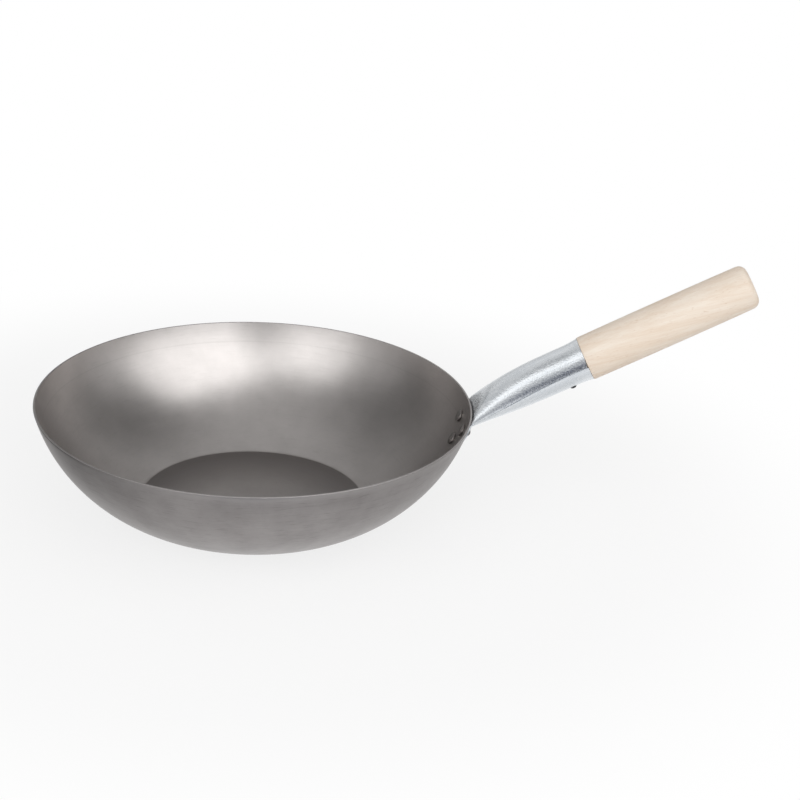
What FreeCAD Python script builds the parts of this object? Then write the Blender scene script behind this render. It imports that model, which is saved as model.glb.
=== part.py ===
"""Carbon steel wok with a riveted sheet-steel handle socket and a turned wooden grip.

Millimetres, +Z up. The origin is the centre of the flat base, on the surface the wok stands on.
The handle points along +X and rises away from the rim.
"""

import FreeCAD
import Part

import math
import os

V = FreeCAD.Vector
X_AXIS = V(1, 0, 0)
Y_AXIS = V(0, 1, 0)
Z_AXIS = V(0, 0, 1)

# Bowl: one pressed sheet with a flat base and a bellied wall
RIM_DIAMETER = 356.0
BOWL_HEIGHT = 90.0
BASE_DIAMETER = 188.0
WALL_BULGE = 15.0
BASE_BEND_RADIUS = 12.0
BOWL_SHEET = 1.5

# Handle axis: a straight line in the XZ plane that starts below the rim
HANDLE_RISE = 27.6
AXIS_BELOW_RIM = 2.8

# Socket: one rolled sheet, round at the grip and pressed flat towards the bowl, where its upper
# face folds down along the wall. The flat end is the tube's end as if it ran on through the wall.
SOCKET_SHEET = 1.2
SOCKET_LENGTH = 102.0
SOCKET_DIAMETER = 34.0
MOUTH_DIAMETER = 36.2
MOUTH_FLARE_LENGTH = 14.0
ROUND_LENGTH = 22.0
FLAT_END_INSIDE_RIM = 12.0
FLAT_END_WIDTH = 52.0
FLAT_END_HEIGHT = 6.6
FLAT_END_DROP = 2.9
FLATTENING_POWER = 2.7
SEAM_GAP = 0.6
SEAM_END_FROM_RIM = 12.0
FOLD_LEAN = 32.0

# Rivets: two beside each other near the rim and one below them, in the middle
RIVET_SPACING = 29.5
RIVET_UPPER_DEPTH = 16.0
RIVET_LOWER_DEPTH = 30.5
RIVET_MARGIN = 10.0
RIVET_SHANK_DIAMETER = 5.0
RIVET_HEAD_DIAMETER = 10.6
RIVET_HEAD_HEIGHT = 2.6
RIVET_HEAD_EDGE = 1.3
RIVET_TAIL_DIAMETER = 7.6
RIVET_TAIL_HEIGHT = 2.6
CROWN_FLAT_DIAMETER = 0.8

# Grip: turned wood with a tapered tenon inside the socket
GRIP_LENGTH = 147.0
GRIP_DIAMETER = 37.0
GRIP_SWELL = 0.3
GRIP_END_ROUND = 7.0
TENON_LENGTH = 58.0
TENON_STRAIGHT = 22.0
TENON_TAPER = 2.6

# Screw: from below into the tenon, turned about the handle axis towards the seam's side
SCREW_FROM_MOUTH = 18.0
SCREW_TURN = 22.0
SCREW_LENGTH = 14.0
SCREW_SHANK_DIAMETER = 3.0
SCREW_POINT_LENGTH = 4.0
SCREW_HEAD_DIAMETER = 5.6
SCREW_HEAD_HEIGHT = 1.3

# Fits
SEAT_GAP = 0.05
HOLE_CLEARANCE = 0.1
TENON_CLEARANCE = 0.15
CUT_OVERRUN = 5.0

# Shares and counts
TAPER_STATION_SHARES = (0.0, 0.12, 0.25, 0.38, 0.52, 0.68, 0.84, 1.0)
FLARE_STATION_SHARES = (0.0, 0.35, 0.7, 1.0)
SECTION_POINTS = 24

RIM_RADIUS = RIM_DIAMETER / 2
BASE_RADIUS = BASE_DIAMETER / 2
SOCKET_RADIUS = SOCKET_DIAMETER / 2
FLANGE_THICKNESS = 2 * SOCKET_SHEET
TAPER_LENGTH = SOCKET_LENGTH - ROUND_LENGTH + FLAT_END_INSIDE_RIM
RISE = math.radians(HANDLE_RISE)
HANDLE_START = V(RIM_RADIUS, 0, BOWL_HEIGHT - AXIS_BELOW_RIM)
HANDLE_AXIS = V(math.cos(RISE), 0, math.sin(RISE))
HANDLE_UP = V(-math.sin(RISE), 0, math.cos(RISE))


class Wall:
    """The wall's outer surface in a meridian: an arc from the base's edge to the rim."""

    def __init__(self):
        run = RIM_RADIUS - BASE_RADIUS
        chord = math.hypot(run, BOWL_HEIGHT)
        self.radius = (chord ** 2 / 4 + WALL_BULGE ** 2) / (2 * WALL_BULGE)
        inwards = self.radius - WALL_BULGE
        self.x = (RIM_RADIUS + BASE_RADIUS) / 2 - inwards * BOWL_HEIGHT / chord
        self.z = BOWL_HEIGHT / 2 + inwards * run / chord

    def angle(self, depth):
        """Angle of the outward normal above the horizontal, that far below the rim."""
        return math.asin((BOWL_HEIGHT - depth - self.z) / self.radius)

    def point(self, angle, outwards=0.0):
        """Point of the meridian whose normal has that angle, moved along the normal."""
        r = self.radius + outwards
        return V(self.x + r * math.cos(angle), 0, self.z + r * math.sin(angle))

    def at_height(self, height, outwards):
        """Point of the offset wall at a height above the base."""
        r = self.radius + outwards
        return V(self.x + math.sqrt(r ** 2 - (height - self.z) ** 2), 0, height)

    def base_bend(self):
        """Centre of the bend between base and wall, and the normal's angle where it meets the wall."""
        rise = BASE_BEND_RADIUS - self.z
        run = math.sqrt((self.radius - BASE_BEND_RADIUS) ** 2 - rise ** 2)
        return V(self.x + run, 0, BASE_BEND_RADIUS), math.atan2(rise, run)


WALL = Wall()


def on_handle(shape):
    """Places a shape modelled along +X from the origin on the handle axis."""
    shape.Placement = FreeCAD.Placement(HANDLE_START, FreeCAD.Rotation(Y_AXIS, -HANDLE_RISE))
    return shape


def revolved(edges, axis=Z_AXIS):
    """Full solid of revolution of a closed outline, about an axis through the origin."""
    return Part.Face(Part.Wire(edges)).revolve(V(), axis, 360)


def chain(*points):
    """Straight edges from point to point."""
    return [Part.makeLine(a, b) for a, b in zip(points, points[1:])]


def arc(start, middle, end):
    """Circular edge through three points."""
    return Part.Arc(start, middle, end).toShape()


def dome(radius, seat, height):
    """Edges of a dome on +Z, from its seat's rim to the axis, and their end. Below zero, it points down."""
    size = (radius ** 2 + height ** 2) / (2 * abs(height))
    rim = math.asin(radius / size)
    flat = math.asin(CROWN_FLAT_DIAMETER / 2 / size)

    def at(angle):
        fall = size * (1 - math.cos(angle))
        return V(size * math.sin(angle), 0, seat + height - math.copysign(fall, height))

    crown = V(0, 0, at(flat).z)
    return [arc(at(rim), at((rim + flat) / 2), at(flat)), Part.makeLine(at(flat), crown)], crown


def on_wall(shape, depth, azimuth):
    """Places a shape modelled on +Z, from the wall's outer face, along the wall's normal."""
    normal = WALL.angle(depth)
    tilt = FreeCAD.Rotation(Y_AXIS, 90 - math.degrees(normal))
    turn = FreeCAD.Rotation(Z_AXIS, azimuth)
    shape.Placement = FreeCAD.Placement(turn.multVec(WALL.point(normal)), turn.multiply(tilt))
    return shape


def rivet_places():
    """Node name, depth below the rim and azimuth of each rivet."""
    side = math.degrees(math.asin(RIVET_SPACING / 2 / WALL.point(WALL.angle(RIVET_UPPER_DEPTH)).x))
    return (
        ("rivet_upper_left", RIVET_UPPER_DEPTH, side),
        ("rivet_upper_right", RIVET_UPPER_DEPTH, -side),
        ("rivet_lower", RIVET_LOWER_DEPTH, 0.0),
    )


def rivet_holes():
    """Cylinders that clear the rivets' shanks through bowl and flange."""
    radius = RIVET_SHANK_DIAMETER / 2 + HOLE_CLEARANCE
    length = BOWL_SHEET + FLANGE_THICKNESS + 2 * CUT_OVERRUN
    start = V(0, 0, -BOWL_SHEET - CUT_OVERRUN)
    return [
        on_wall(Part.makeCylinder(radius, length, start), depth, azimuth)
        for _, depth, azimuth in rivet_places()
    ]


def make_bowl():
    """Pressed bowl: base disc, bend and wall of one thickness, with the rim cut level."""
    bend, bend_end = WALL.base_bend()
    bend_middle = (bend_end - math.pi / 2) / 2

    def face(inwards):
        r = BASE_BEND_RADIUS - inwards

        def on_bend(angle):
            return bend + V(r * math.cos(angle), 0, r * math.sin(angle))

        centre = V(0, 0, inwards)
        base_end = V(bend.x, 0, inwards)
        wall_start = on_bend(bend_end)
        rim = WALL.at_height(BOWL_HEIGHT, -inwards)
        wall_middle = WALL.at_height((wall_start.z + rim.z) / 2, -inwards)
        edges = [
            Part.makeLine(centre, base_end),
            arc(base_end, on_bend(bend_middle), wall_start),
            arc(wall_start, wall_middle, rim),
        ]
        return edges, centre, rim

    outer, outer_centre, outer_rim = face(0.0)
    inner, inner_centre, inner_rim = face(BOWL_SHEET)
    outline = outer + [Part.makeLine(outer_rim, inner_rim)] + inner[::-1]
    outline.append(Part.makeLine(inner_centre, outer_centre))
    return revolved(Part.sortEdges(outline)[0]).cut(rivet_holes())


def wall_side(outwards):
    """Solid on the bowl's side of the flange: along the wall, straight on to the rim, then leaning out."""
    low_angle = WALL.angle(RIVET_LOWER_DEPTH + RIVET_MARGIN + CUT_OVERRUN)
    high_angle = WALL.angle(RIVET_UPPER_DEPTH)
    low = WALL.point(low_angle, outwards)
    middle = WALL.point((low_angle + high_angle) / 2, outwards)
    high = WALL.point(high_angle, outwards)
    lean = math.radians(FOLD_LEAN)
    run = RIVET_UPPER_DEPTH / math.cos(high_angle) - outwards * math.tan((high_angle + lean) / 2)
    fold = high + V(-math.sin(high_angle), 0, math.cos(high_angle)) * run
    top = fold + V(math.sin(lean), 0, math.cos(lean)) * SOCKET_DIAMETER
    outline = [arc(low, middle, high)]
    outline += chain(high, fold, top, V(0, 0, top.z), V(0, 0, low.z), low)
    return revolved(outline)


def make_flange():
    """Flat end of the socket: both layers of sheet, curved to the wall, round about the rivets."""
    side = RIVET_SPACING / 2
    upper = BOWL_HEIGHT - RIVET_UPPER_DEPTH
    lower = BOWL_HEIGHT - RIVET_LOWER_DEPTH
    triangle = chain(V(0, side, upper), V(0, -side, upper), V(0, 0, lower), V(0, side, upper))
    outline = Part.Wire(triangle).makeOffset2D(RIVET_MARGIN)
    shield = Part.Face(outline).extrude(V(RIM_DIAMETER, 0, 0))
    return shield.common(wall_side(SEAT_GAP + FLANGE_THICKNESS)).cut(wall_side(SEAT_GAP))


def tube_size(distance):
    """Half-width, half-height and drop of the tube's outside, that far from the rim along the axis."""
    share = min((distance + FLAT_END_INSIDE_RIM) / TAPER_LENGTH, 1.0)
    flatness = (1 - share) ** FLATTENING_POWER
    flare = max(0.0, 1 - (SOCKET_LENGTH - distance) / MOUTH_FLARE_LENGTH)
    radius = SOCKET_RADIUS + (MOUTH_DIAMETER - SOCKET_DIAMETER) / 2 * flare ** 2
    half_width = radius + (FLAT_END_WIDTH / 2 - radius) * flatness
    half_height = radius + (FLAT_END_HEIGHT / 2 - radius) * flatness
    return half_width, half_height, FLAT_END_DROP * flatness


def tube_section(distance, inwards=0.0):
    """Closed oval across the tube, moved in from its outside by a sheet's thickness."""
    half_width, half_height, drop = tube_size(distance)
    centre = HANDLE_START + HANDLE_AXIS * distance - HANDLE_UP * drop
    points = []
    for i in range(SECTION_POINTS):
        around = 2 * math.pi * i / SECTION_POINTS
        across = Y_AXIS * ((half_width - inwards) * math.cos(around))
        points.append(centre + across + HANDLE_UP * ((half_height - inwards) * math.sin(around)))
    oval = Part.BSplineCurve()
    oval.interpolate(Points=points, PeriodicFlag=True)
    return Part.Wire(oval.toShape())


def tube_distances():
    """Where the tube's sections stand, from its flat end to its mouth."""
    flare_start = SOCKET_LENGTH - MOUTH_FLARE_LENGTH
    taper = [share * TAPER_LENGTH - FLAT_END_INSIDE_RIM for share in TAPER_STATION_SHARES]
    flare = [flare_start + share * MOUTH_FLARE_LENGTH for share in FLARE_STATION_SHARES]
    return [d for d in taper if d < flare_start] + flare


def make_socket():
    """Rolled tube folded into its flange, with its open side seam and its fasteners' holes."""
    distances = tube_distances()
    outside = Part.makeLoft([tube_section(d) for d in distances], True, False)
    bore = distances + [SOCKET_LENGTH + CUT_OVERRUN]
    inside = Part.makeLoft([tube_section(d, SOCKET_SHEET) for d in bore], True, False)
    body = make_flange().fuse(outside.cut(wall_side(SEAT_GAP)))
    hollow = inside.cut(wall_side(SEAT_GAP + SOCKET_SHEET))

    seam_length = SOCKET_LENGTH - SEAM_END_FROM_RIM + CUT_OVERRUN
    seam_corner = V(SEAM_END_FROM_RIM, -FLAT_END_WIDTH, -SEAM_GAP / 2)
    seam_depth = FLAT_END_WIDTH - SOCKET_RADIUS + FLANGE_THICKNESS
    seam = on_handle(Part.makeBox(seam_length, seam_depth, SEAM_GAP, seam_corner))
    return body.cut([hollow, seam, screw_hole()] + rivet_holes())


def make_grip():
    """Turned grip: tapered tenon, shoulder at the socket's mouth, slight swell, rounded end."""
    tenon = SOCKET_RADIUS - SOCKET_SHEET - TENON_CLEARANCE
    shoulder = SOCKET_LENGTH + SEAT_GAP
    end = shoulder + GRIP_LENGTH
    radius = GRIP_DIAMETER / 2
    round_start = end - GRIP_END_ROUND
    face = radius - GRIP_END_ROUND
    diagonal = GRIP_END_ROUND * math.sqrt(0.5)
    side_start = V(shoulder, 0, radius)
    side_middle = V((shoulder + round_start) / 2, 0, radius + GRIP_SWELL)
    side_end = V(round_start, 0, radius)
    outline = chain(
        V(end, 0, 0),
        V(shoulder - TENON_LENGTH, 0, 0),
        V(shoulder - TENON_LENGTH, 0, tenon - TENON_TAPER),
        V(shoulder - TENON_STRAIGHT, 0, tenon),
        V(shoulder, 0, tenon),
        side_start,
    )
    outline.append(arc(side_start, side_middle, side_end))
    outline.append(arc(side_end, V(round_start + diagonal, 0, face + diagonal), V(end, 0, face)))
    outline.append(Part.makeLine(V(end, 0, face), V(end, 0, 0)))
    grip = on_handle(revolved(outline, X_AXIS))
    return grip.cut(screw_hole())


def screw_frame(shape):
    """Places a shape modelled on +Z, from the screw head's seat, under the round part of the socket."""
    turn = FreeCAD.Rotation(HANDLE_AXIS, -SCREW_TURN)
    inwards = turn.multVec(HANDLE_UP)
    middle = HANDLE_START + HANDLE_AXIS * (SOCKET_LENGTH - SCREW_FROM_MOUTH)
    seat = middle - inwards * (SOCKET_RADIUS + SEAT_GAP)
    shape.Placement = FreeCAD.Placement(seat, turn.multiply(FreeCAD.Rotation(Y_AXIS, -HANDLE_RISE)))
    return shape


def screw_hole():
    """Hole that clears the screw's shank through sheet and wood."""
    radius = SCREW_SHANK_DIAMETER / 2 + HOLE_CLEARANCE
    length = SCREW_LENGTH + HOLE_CLEARANCE
    return screw_frame(Part.makeCylinder(radius, length))


def make_screw():
    """Low domed wood screw with a pointed shank."""
    head = SCREW_HEAD_DIAMETER / 2
    shank = SCREW_SHANK_DIAMETER / 2
    outline, crown = dome(head, 0, -SCREW_HEAD_HEIGHT)
    outline += chain(
        crown,
        V(0, 0, SCREW_LENGTH),
        V(shank, 0, SCREW_LENGTH - SCREW_POINT_LENGTH),
        V(shank, 0, 0),
        V(head, 0, 0),
    )
    return screw_frame(revolved(outline))


def make_rivet(depth, azimuth):
    """Rivet through wall and flange, its low pan head inside the bowl and its domed tail outside."""
    head = RIVET_HEAD_DIAMETER / 2
    tail = RIVET_TAIL_DIAMETER / 2
    shank = RIVET_SHANK_DIAMETER / 2
    hollow = head ** 2 / (2 * (WALL.radius - BOWL_SHEET))
    inner = -BOWL_SHEET - hollow - SEAT_GAP
    outer = FLANGE_THICKNESS + 2 * SEAT_GAP
    edge = inner - RIVET_HEAD_EDGE
    head_dome, head_crown = dome(head, edge, RIVET_HEAD_EDGE - RIVET_HEAD_HEIGHT)
    tail_dome, tail_crown = dome(tail, outer, RIVET_TAIL_HEIGHT)
    outline = head_dome + tail_dome + chain(head_crown, tail_crown)
    outline += chain(V(tail, 0, outer), V(shank, 0, outer), V(shank, 0, inner))
    outline += chain(V(shank, 0, inner), V(head, 0, inner), V(head, 0, edge))
    return on_wall(revolved(Part.sortEdges(outline)[0]), depth, azimuth)


def main():
    """Builds every piece and writes one STEP file for each."""
    pieces = {
        "bowl": make_bowl(),
        "handle_socket": make_socket(),
        "wooden_grip": make_grip(),
        "grip_screw": make_screw(),
    }
    for name, depth, azimuth in rivet_places():
        pieces[name] = make_rivet(depth, azimuth)
    os.makedirs("parts", exist_ok=True)
    for name, shape in pieces.items():
        shape.exportStep(os.path.join("parts", name + ".step"))
        print(name, "solids", len(shape.Solids), "valid", shape.isValid(), "volume", round(shape.Volume, 1))


main()
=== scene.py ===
"""Carbon steel wok: a pressed bowl, a riveted zinc-plated socket and a turned wooden grip, in a studio.

Metres, +Z up. The origin is the centre of the flat base, and the handle points along +X.
"""

import logging
import math
from collections.abc import Callable, Sequence
from dataclasses import dataclass, field
from enum import Enum

import bpy
from mathutils import Euler, Matrix, Vector


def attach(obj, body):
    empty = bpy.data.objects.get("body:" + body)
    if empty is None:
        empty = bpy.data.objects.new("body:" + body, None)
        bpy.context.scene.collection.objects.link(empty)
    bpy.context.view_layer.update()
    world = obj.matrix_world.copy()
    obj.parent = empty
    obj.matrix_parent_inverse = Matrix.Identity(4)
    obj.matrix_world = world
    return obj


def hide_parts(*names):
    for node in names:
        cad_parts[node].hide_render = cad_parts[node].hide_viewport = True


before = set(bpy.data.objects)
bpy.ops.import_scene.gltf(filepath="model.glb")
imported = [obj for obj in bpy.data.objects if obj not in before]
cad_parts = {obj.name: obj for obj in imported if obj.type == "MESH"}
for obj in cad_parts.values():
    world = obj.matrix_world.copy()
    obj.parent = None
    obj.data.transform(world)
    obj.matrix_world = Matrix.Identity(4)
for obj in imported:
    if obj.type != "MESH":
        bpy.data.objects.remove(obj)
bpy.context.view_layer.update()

logging.basicConfig(level=logging.INFO, format="%(message)s")
log = logging.getLogger("wok")

MM = 0.001
IMAGE_SIZE = 800
HANDLE_RISE = math.radians(27.6)
SHARP_EDGE = math.radians(60)
MERGE_DISTANCE = MM / 500


class Slot(Enum):
    """Material slots of the record."""

    BOWL = "bowl_steel"
    SOCKET = "zinc_plated_steel"
    RIVET = "rivet_steel"
    GRIP = "grip_wood"
    SCREW = "screw_steel"


# Small tools

Piece = bpy.types.Object
Socket = bpy.types.NodeSocket
Value = Socket | float | Sequence[float]
Points = list[tuple[float, float]]


def to_linear(code: str) -> tuple[float, float, float, float]:
    """Turns a colour written as sRGB hex into linear light.

    Args:
        code: six hex digits.

    Returns:
        Red, green, blue and an alpha of one.
    """
    parts = [int(code[i:i + 2], 16) / 255 for i in (0, 2, 4)]
    r, g, b = (p / 12.92 if p <= 0.04045 else ((p + 0.055) / 1.055) ** 2.4 for p in parts)
    return r, g, b, 1.0


@dataclass(frozen=True)
class Graph:
    """A node tree, with short ways to add the nodes that finishes and lights use."""

    tree: bpy.types.NodeTree

    @classmethod
    def of(cls, owner: bpy.types.Material | bpy.types.World) -> "Graph":
        """Empties the node tree of a material or world.

        Args:
            owner: the material or world.

        Returns:
            Its graph, without nodes.
        """
        owner.use_nodes = True
        owner.node_tree.nodes.clear()
        return cls(owner.node_tree)

    def add(self, kind: str, settings: dict | None = None, inputs: dict | None = None) -> bpy.types.Node:
        """Adds a node with its settings, input values and links.

        Args:
            kind: what follows ShaderNode in the node's type.
            settings: the node's properties by name.
            inputs: values or output sockets by the input's name or number.

        Returns:
            The new node.
        """
        new = self.tree.nodes.new("ShaderNode" + kind)
        for name, value in (settings or {}).items():
            setattr(new, name, value)
        for name, value in (inputs or {}).items():
            if isinstance(value, Socket):
                self.tree.links.new(value, new.inputs[name])
            else:
                new.inputs[name].default_value = value
        return new

    def place(self) -> Socket:
        """Place of a point in its object's own coordinates."""
        return self.add("TexCoord").outputs["Object"]

    def axes(self, vector: Socket) -> Sequence[Socket]:
        """The three numbers of a vector."""
        return self.add("SeparateXYZ", inputs={0: vector}).outputs

    def math(self, operation: str, *values: Value) -> Socket:
        """A number worked out from numbers."""
        return self.add("Math", {"operation": operation}, dict(enumerate(values))).outputs[0]

    def vector(self, operation: str, *values: Value) -> Socket:
        """A vector worked out from vectors, or a number where it is a length or a dot product."""
        outcome = "Value" if operation in ("LENGTH", "DOT_PRODUCT") else "Vector"
        return self.add("VectorMath", {"operation": operation}, dict(enumerate(values))).outputs[outcome]

    def along(self, where: Socket, turn: float, length: float, width: float) -> Socket:
        """Places counted in lengths along an axis that is turned about Y, and in widths across it."""
        turned = self.add("Mapping", {"vector_type": "TEXTURE"}, {0: where, "Rotation": (0.0, turn, 0.0)})
        return self.vector("MULTIPLY", turned.outputs[0], (1 / length, 1 / width, 1 / width))

    def noise(self, where: Socket, size: float = 1.0, *, detail: float, **more: float) -> Socket:
        """Cloudy noise of a size, with finer octaves by its detail."""
        inputs = {"Vector": where, "Scale": 1 / size, "Detail": detail, **more}
        return self.add("TexNoise", inputs=inputs).outputs[0]

    def ramp(self, value: Socket, span: Sequence[float], to: Sequence[float] = (0.0, 1.0),
             kind: str = "LINEAR") -> Socket:
        """A number that goes from one level to another within a span, and is held beyond its ends."""
        inputs = {"Value": value, "From Min": span[0], "From Max": span[1], "To Min": to[0], "To Max": to[1]}
        return self.add("MapRange", {"interpolation_type": kind}, inputs).outputs[0]

    def about(self, value: Socket, spread: float, middle: float) -> Socket:
        """A number that strays from its middle by up to half the spread, as noise does from a half."""
        return self.math("MULTIPLY_ADD", value, spread, middle - spread / 2)

    def blend(self, share: Socket, first: str | Socket, second: str) -> Socket:
        """A colour between two, which are sRGB hex or a socket."""
        start = first if isinstance(first, Socket) else to_linear(first)
        return self.add("Mix", {"data_type": "RGBA"}, {0: share, 6: start, 7: to_linear(second)}).outputs[2]

    def glow(self, strength: Value) -> Socket:
        """White light of a strength."""
        return self.add("Emission", inputs={"Color": (1, 1, 1, 1), "Strength": strength}).outputs[0]

    def surface(self, colour: Socket, rough: Socket, relief: Socket, depth: float, more: dict[str, float],
                strength: float = 1.0) -> None:
        """Adds the shader of a solid surface and the output.

        Args:
            colour: its colour.
            rough: its roughness.
            relief: its height, as a share of the depth.
            depth: depth of the relief.
            more: other inputs of the shader by name.
            strength: how much of the relief the eye gets.
        """
        bump = self.add("Bump", inputs={"Height": relief, "Strength": strength, "Distance": depth}).outputs[0]
        inputs = {"Base Color": colour, "Roughness": rough, "Normal": bump, **more}
        self.output(self.add("BsdfPrincipled", inputs=inputs).outputs["BSDF"])

    def output(self, shader: Socket) -> None:
        """Adds the output of a material."""
        self.add("OutputMaterial", inputs={"Surface": shader})


def select_only(piece: Piece) -> None:
    """Selects one piece and makes it active.

    Args:
        piece: the piece.
    """
    bpy.ops.object.select_all(action="DESELECT")
    piece.select_set(True)
    bpy.context.view_layer.objects.active = piece


def take_up(name: str) -> Piece:
    """Names the primitive that was just added, puts its place in its mesh and starts to edit it.

    Args:
        name: name of the piece.

    Returns:
        The piece, in edit mode.
    """
    piece = bpy.context.object
    piece.name = name
    piece.data.name = name
    bpy.ops.object.transform_apply(location=True, rotation=True, scale=True)
    bpy.ops.object.mode_set(mode="EDIT")
    return piece


def close_up(piece: Piece, merge: float = MERGE_DISTANCE) -> None:
    """Merges doubles, turns the faces outwards and leaves edit mode.

    Args:
        piece: the object in edit mode.
        merge: points closer than this become one.
    """
    bpy.ops.mesh.select_mode(type="VERT")
    bpy.ops.mesh.select_all(action="SELECT")
    bpy.ops.mesh.remove_doubles(threshold=merge)
    bpy.ops.mesh.normals_make_consistent(inside=False)
    bpy.ops.object.mode_set(mode="OBJECT")
    piece.data.update()


def spun(name: str, profile: Points, steps: int) -> Piece:
    """Draws a half section by extruding one vertex from point to point, and spins it round Z.

    Args:
        name: name of the piece.
        profile: distance from the axis and height of each point, both ends on the axis.
        steps: faces round the axis.

    Returns:
        The closed piece.
    """
    r, z = profile[0]
    bpy.ops.mesh.primitive_plane_add(size=MM, location=(r, 0, z))
    piece = take_up(name)
    bpy.ops.mesh.select_all(action="SELECT")
    bpy.ops.mesh.merge(type="CENTER")
    for (r0, z0), (r1, z1) in zip(profile, profile[1:]):
        bpy.ops.mesh.extrude_vertices_move(TRANSFORM_OT_translate={"value": (r1 - r0, 0, z1 - z0)})
    bpy.ops.mesh.select_all(action="SELECT")
    bpy.ops.mesh.spin(steps=steps, angle=math.tau, center=(0, 0, 0), axis=(0, 0, 1))
    close_up(piece)
    return piece


def place(piece: Piece, where: Matrix) -> None:
    """Moves a piece and puts the move into its mesh.

    Args:
        piece: the piece, modelled at the origin.
        where: its place in the frame.
    """
    select_only(piece)
    piece.matrix_world = where
    bpy.ops.object.transform_apply(location=True, rotation=True, scale=True)


def press(piece: Piece, form: Callable[[Vector], Vector], merge: float) -> None:
    """Presses a flat blank onto a form, point by point.

    Args:
        piece: the blank, in edit mode.
        form: gives the place on the form of a point of the blank.
        merge: points closer than this become one.
    """
    bpy.ops.object.mode_set(mode="OBJECT")
    for vertex in piece.data.vertices:
        vertex.co = form(vertex.co.copy())
    piece.data.update()
    bpy.ops.object.mode_set(mode="EDIT")
    close_up(piece, merge)


def apply_modifier(piece: Piece, kind: str, **settings: object) -> None:
    """Adds a modifier with its settings and applies it.

    Args:
        piece: the piece.
        kind: the modifier's type.
        settings: the modifier's properties by name.
    """
    select_only(piece)
    modifier = piece.modifiers.new(kind.title(), kind)
    for name, value in settings.items():
        setattr(modifier, name, value)
    bpy.ops.object.modifier_apply(modifier=modifier.name)


def thicken(piece: Piece, sheet: float, edge: float, parts: int, even: bool) -> None:
    """Turns a surface into a sheet on its inner side and rounds the sheet's edges.

    Args:
        piece: the surface.
        sheet: thickness of the sheet.
        edge: width of the rounding.
        parts: faces across the rounding.
        even: whether the sheet stays as thick round bends.
    """
    apply_modifier(piece, "SOLIDIFY", thickness=sheet, offset=-1.0, use_even_offset=even)
    apply_modifier(piece, "BEVEL", width=edge, segments=parts, limit_method="ANGLE", angle_limit=SHARP_EDGE)


def smooth(piece: Piece, degrees: float) -> None:
    """Shades a piece smooth across edges flatter than an angle."""
    select_only(piece)
    bpy.ops.object.shade_smooth_by_angle(angle=math.radians(degrees))


def hand_over(piece: Piece, node: str, slot: Slot, *materials: bpy.types.Material) -> None:
    """Gives a piece its finish and its place in the frame, and reports it.

    Args:
        piece: the finished piece.
        node: the CAD node that it stands for.
        slot: the record's material slot; not used.
        materials: its finishes, in the order of its faces' material numbers.
    """
    for material in materials:
        piece.data.materials.append(material)
    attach(piece, "root")
    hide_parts(node)
    names = ", ".join(material.name for material in materials)
    log.info("%s: %d faces, %s", piece.name, len(piece.data.polygons), names)


def arc_points(centre: tuple[float, float], radius: float, start: float, end: float, count: int) -> Points:
    """Points of an arc in a half section.

    Args:
        centre: distance from the axis and height of the arc's centre.
        radius: its radius.
        start: first angle above the horizontal, in radians.
        end: last angle.
        count: number of parts.

    Returns:
        Distance from the axis and height of each point.
    """
    angles = [start + (end - start) * i / count for i in range(count + 1)]
    return [(centre[0] + radius * math.cos(a), centre[1] + radius * math.sin(a)) for a in angles]


def dome_points(radius: float, seat: float, height: float, count: int) -> Points:
    """Points of a low dome's half section, from the rim of its seat to its crown on the axis.

    Args:
        radius: radius of the seat.
        seat: height of the seat.
        height: rise of the crown over the seat, negative for a dome that hangs.
        count: number of parts.

    Returns:
        Distance from the axis and height of each point.
    """
    size = (radius ** 2 + height ** 2) / (2 * abs(height))
    rim = math.asin(radius / size)
    points = []
    for i in range(count + 1):
        angle = rim * (1 - i / count)
        fall = math.copysign(size * (1 - math.cos(angle)), height)
        points.append((size * math.sin(angle), seat + height - fall))
    return points


# Finishes

@dataclass(frozen=True)
class Finish:
    """A finish by the name of its real material and how its surface was made."""

    name: str

    def start(self) -> tuple[bpy.types.Material, Graph, Socket]:
        """Starts the material.

        Returns:
            The material, its empty graph and the place of a point in the piece's own coordinates.
        """
        material = bpy.data.materials.new(self.name)
        graph = Graph.of(material)
        return material, graph, graph.place()


@dataclass(frozen=True)
class Metal(Finish):
    """A metal by the darkest and lightest of its tones and its mean roughness."""

    dark: str
    light: str
    roughness: float


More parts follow.
